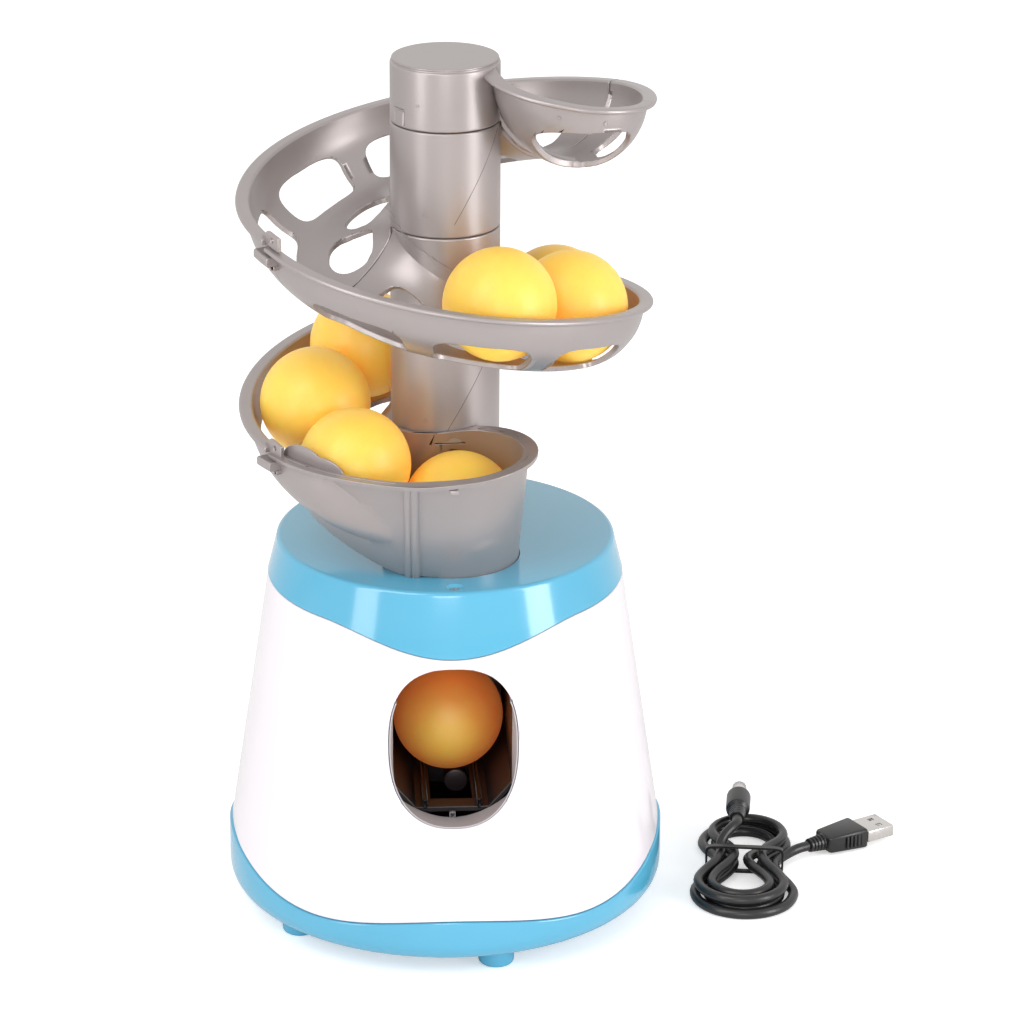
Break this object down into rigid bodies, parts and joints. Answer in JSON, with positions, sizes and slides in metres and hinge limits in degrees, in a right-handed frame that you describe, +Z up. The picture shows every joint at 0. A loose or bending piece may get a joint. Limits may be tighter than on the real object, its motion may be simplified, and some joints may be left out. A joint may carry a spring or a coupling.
{
  "type": "table tennis robot",
  "caption": "Toy table tennis robot: conical body with a launch window in front, ball feed tube and hopper on top, spiral ball track round a hollow column, loading bowl, and tied supply cable.",
  "frame": {"origin": "on the floor, under the middle of the round body and column", "axes": "+Z up, -Y the way the balls are launched, +X towards the side where the loading bowl stands"},
  "size_m": [0.2531, 0.16, 0.3205],
  "materials": {
    "silver_plastic": "satin silver-grey moulding",
    "blue_plastic": "glossy light sky blue moulding",
    "white_plastic": "glossy white moulding",
    "black_plastic": "fine matt black moulding",
    "gear_plastic": "natural nylon, satin",
    "ball": "matt yellow-orange celluloid-like shell",
    "steel": "plain bright steel",
    "contact_metal": "nickel-plated spring strip",
    "cable_jacket": "smooth black jacket",
    "board": "green coated laminate"
  },
  "bodies": {
    "root": {"ball_cradle": "black_plastic", "barrel_plug": "cable_jacket", "barrel_plug_sleeve": "steel", "base_tray": "blue_plastic", "battery_box": "black_plastic", "body_screw_1": "steel", "body_screw_2": "steel", "body_screw_3": "steel", "body_screw_4": "steel", "body_screw_5": "steel", "body_shell": "white_plastic", "cable_hank": "cable_jacket", "cable_tie": "black_plastic", "cap_bowl": "silver_plastic", "circuit_board": "board", "cover_screw_1": "steel", "cover_screw_2": "steel", "drive_shaft": "steel", "front_contacts": "contact_metal", "gearbox": "white_plastic", "guide_bush": "steel", "hopper": "silver_plastic", "hopper_ball": "ball", "hopper_screw_1": "steel", "hopper_screw_2": "steel", "hopper_screw_3": "steel", "launch_chute": "silver_plastic", "left_frame_screw_1": "steel", "left_frame_screw_2": "steel", "mechanism_frame": "black_plastic", "motor": "steel", "rear_contacts": "contact_metal", "rear_panel": "black_plastic", "right_frame_screw_1": "steel", "right_frame_screw_2": "steel", "spiral_lower": "silver_plastic", "spiral_middle": "silver_plastic", "spiral_upper": "silver_plastic", "striker_spring": "steel", "supply_jack": "black_plastic", "switch_housing": "black_plastic", "top_cover": "blue_plastic", "track_ball_1": "ball", "track_ball_2": "ball", "track_ball_3": "ball", "track_ball_4": "ball", "track_ball_5": "ball", "track_ball_6": "ball", "track_ball_7": "ball", "tube_ball": "ball", "usb_plug": "cable_jacket", "usb_plug_shell": "steel"},
    "drive_gear": {"sector_gear": "gear_plastic"},
    "striker_body": {"striker": "black_plastic"},
    "door": {"battery_door": "blue_plastic"},
    "power_knob": {"switch_knob": "black_plastic"},
    "served_ball": {"launch_ball": "ball"}
  },
  "joints": [
    {"name": "gear_turn", "type": "hinge", "parent": "root", "child": "drive_gear", "pos_m": [0, 0.033, 0.05448], "axis": [-1, 0, 0], "range_deg": [0, 140]},
    {"name": "striker_draw", "type": "slide", "parent": "root", "child": "striker_body", "axis": [0, 1, 0], "range_m": [0, 0.024], "deforming": ["striker_spring"]},
    {"name": "battery_door_slide", "type": "slide", "parent": "root", "child": "door", "axis": [0, 1, 0], "range_m": [0, 0.01]},
    {"name": "power_switch_slide", "type": "slide", "parent": "root", "child": "power_knob", "axis": [1, 0, 0], "range_m": [0, 0.004]},
    {"name": "ball_launch", "type": "slide", "parent": "root", "child": "served_ball", "axis": [0, -1, 0], "range_m": [0, 0.09]}
  ],
  "couplings": [
    {"joint": "gear_turn", "follows": "striker_draw", "rad_per_m": 101.81}
  ]
}
